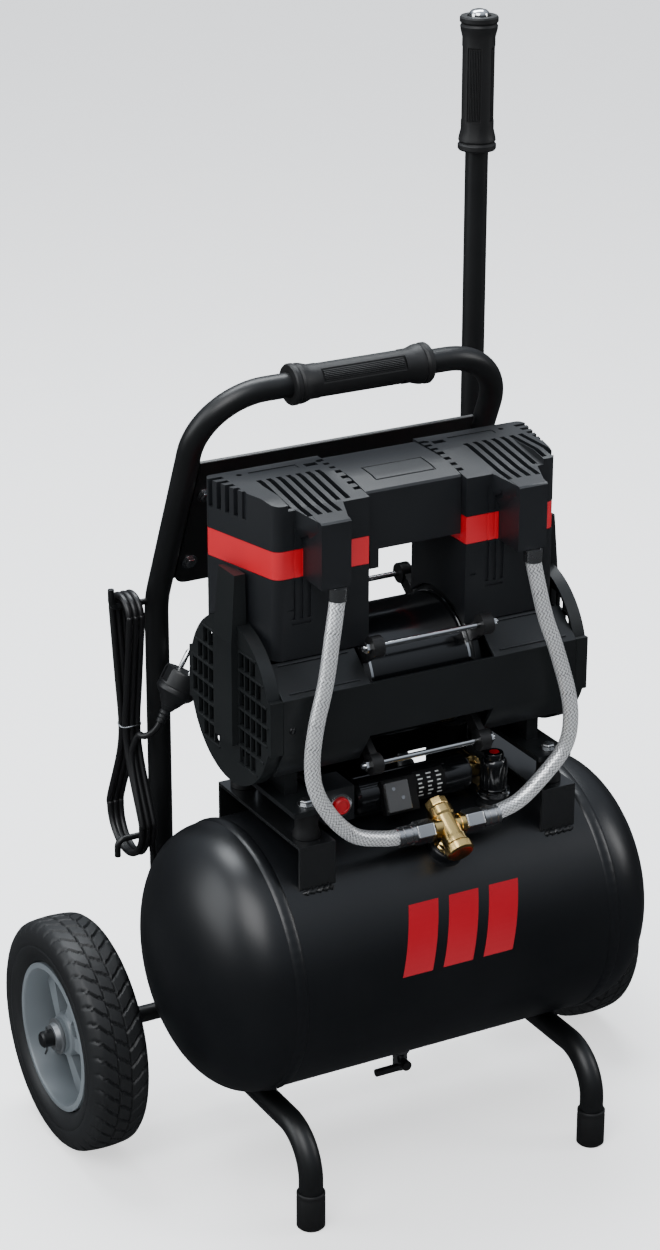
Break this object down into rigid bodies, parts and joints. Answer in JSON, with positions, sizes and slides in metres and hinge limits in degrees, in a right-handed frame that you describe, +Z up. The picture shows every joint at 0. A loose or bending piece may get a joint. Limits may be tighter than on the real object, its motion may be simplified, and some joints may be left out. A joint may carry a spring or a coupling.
{
  "type": "trolley air compressor",
  "caption": "Portable oil-free air compressor: horizontal tank on wheels and feet, twin-head pump, carry hoop, telescopic pull mast, braided hoses and a hung mains cord.",
  "frame": {"origin": "on the ground, under the middle of the outline (without the cord)", "axes": "+X along the tank towards the pull mast, -Y to the front with the feet and hoses, +Z up"},
  "size_m": [0.6, 0.362, 1.004],
  "materials": {
    "black_paint": "glossy black powder coat",
    "cover_plastic": "fine-grained black plastic with a cool sheen",
    "cowl_plastic": "satin black",
    "black_rubber": "matt",
    "tyre_rubber": "matt with a moulded tread",
    "red_plastic": "semi-gloss red",
    "rim_grey": "satin grey",
    "brass": "machined",
    "steel": "bright zinc",
    "braid": "braided stainless wire",
    "alloy": "die cast",
    "cord_rubber": "satin"
  },
  "bodies": {
    "machine": {"tank_shell": "black_paint", "left_saddle": "black_paint", "right_saddle": "black_paint", "front_left_mount": "black_rubber", "rear_left_mount": "black_rubber", "front_right_mount": "black_rubber", "rear_right_mount": "black_rubber", "axle": "steel", "left_foot_tube": "black_paint", "right_foot_tube": "black_paint", "left_foot_cap": "black_rubber", "right_foot_cap": "black_rubber", "carry_frame": "black_paint", "cross_plate": "black_paint", "carry_grip": "black_rubber", "motor_housing": "black_paint", "left_crankcase": "alloy", "right_crankcase": "alloy", "left_cylinder": "alloy", "right_cylinder": "alloy", "left_shroud": "cover_plastic", "right_shroud": "cover_plastic", "left_band": "red_plastic", "right_band": "red_plastic", "centre_cover": "cover_plastic", "front_cowl": "cowl_plastic", "rear_cowl": "cowl_plastic", "left_fan_guard": "cowl_plastic", "right_fan_guard": "cowl_plastic", "left_hose": "braid", "right_hose": "braid", "check_valve": "brass", "regulator_body": "steel", "outlet_coupler": "brass", "switch_box": "cover_plastic", "capacitor": "cover_plastic", "drain_valve": "brass", "safety_valve": "brass", "cord_lead": "cord_rubber", "cord_hank": "cord_rubber", "cord_tail": "cord_rubber", "plug": "cord_rubber"},
    "left_wheel": {"left_tyre": "tyre_rubber", "left_rim": "rim_grey"},
    "right_wheel": {"right_tyre": "tyre_rubber", "right_rim": "rim_grey"},
    "mast": {"mast_tube": "black_paint", "mast_grip": "black_rubber"},
    "mast_release": {"mast_button": "steel"},
    "lock_pin": {"mast_lock_pin": "steel"},
    "rotor": {"rotor_shaft": "steel", "left_fan": "cover_plastic", "right_fan": "cover_plastic"},
    "left_rod": {"left_con_rod": "alloy"},
    "right_rod": {"right_con_rod": "alloy"},
    "knob": {"regulator_knob": "cover_plastic"},
    "start_key": {"start_button": "red_plastic"},
    "drain_handle": {"drain_lever": "black_rubber"},
    "relief_ring": {"safety_ring": "steel"}
  },
  "joints": [
    {"name": "left_wheel_spin", "type": "hinge", "parent": "machine", "child": "left_wheel", "pos_m": [-0.2645, 0.0715, 0.1095], "axis": [1, 0, 0], "continuous": true},
    {"name": "right_wheel_spin", "type": "hinge", "parent": "machine", "child": "right_wheel", "pos_m": [0.2645, 0.0715, 0.1095], "axis": [1, 0, 0], "continuous": true},
    {"name": "mast_slide", "type": "slide", "parent": "machine", "child": "mast", "axis": [0, 0, 1], "range_m": [-0.32, 0]},
    {"name": "mast_button_press", "type": "slide", "parent": "mast", "child": "mast_release", "axis": [0, 0, -1], "range_m": [0, 0.005], "stiffness_N_per_m": 600, "springref_m": -0.004},
    {"name": "lock_pin_slide", "type": "slide", "parent": "mast", "child": "lock_pin", "axis": [-1, 0, 0], "range_m": [0, 0.005]},
    {"name": "rotor_spin", "type": "hinge", "parent": "machine", "child": "rotor", "pos_m": [-0.002, -0.0445, 0.465], "axis": [1, 0, 0], "continuous": true},
    {"name": "left_rod_turn", "type": "hinge", "parent": "rotor", "child": "left_rod", "pos_m": [-0.0985, -0.0445, 0.47], "axis": [1, 0, 0], "continuous": true},
    {"name": "right_rod_turn", "type": "hinge", "parent": "rotor", "child": "right_rod", "pos_m": [0.0945, -0.0445, 0.47], "axis": [1, 0, 0], "continuous": true},
    {"name": "knob_turn", "type": "hinge", "parent": "machine", "child": "knob", "pos_m": [0.0755, -0.0995, 0.37], "axis": [0, 0, 1], "range_deg": [-540, 540]},
    {"name": "start_press", "type": "slide", "parent": "machine", "child": "start_key", "axis": [0, 1, 0], "range_m": [0, 0.0025], "stiffness_N_per_m": 800, "springref_m": -0.001},
    {"name": "drain_turn", "type": "hinge", "parent": "machine", "child": "drain_handle", "pos_m": [0.008, -0.0645, 0.068], "axis": [0, 1, 0], "range_deg": [-90, 0]},
    {"name": "relief_pull", "type": "slide", "parent": "machine", "child": "relief_ring", "axis": [0, 0.6428, 0.766], "range_m": [0, 0.002], "stiffness_N_per_m": 800, "springref_m": -0.001}
  ],
  "couplings": [
    {"joint": "lock_pin_slide", "follows": "mast_button_press", "ratio": 1},
    {"joint": "left_rod_turn", "follows": "rotor_spin", "ratio": -1},
    {"joint": "right_rod_turn", "follows": "rotor_spin", "ratio": -1}
  ]
}
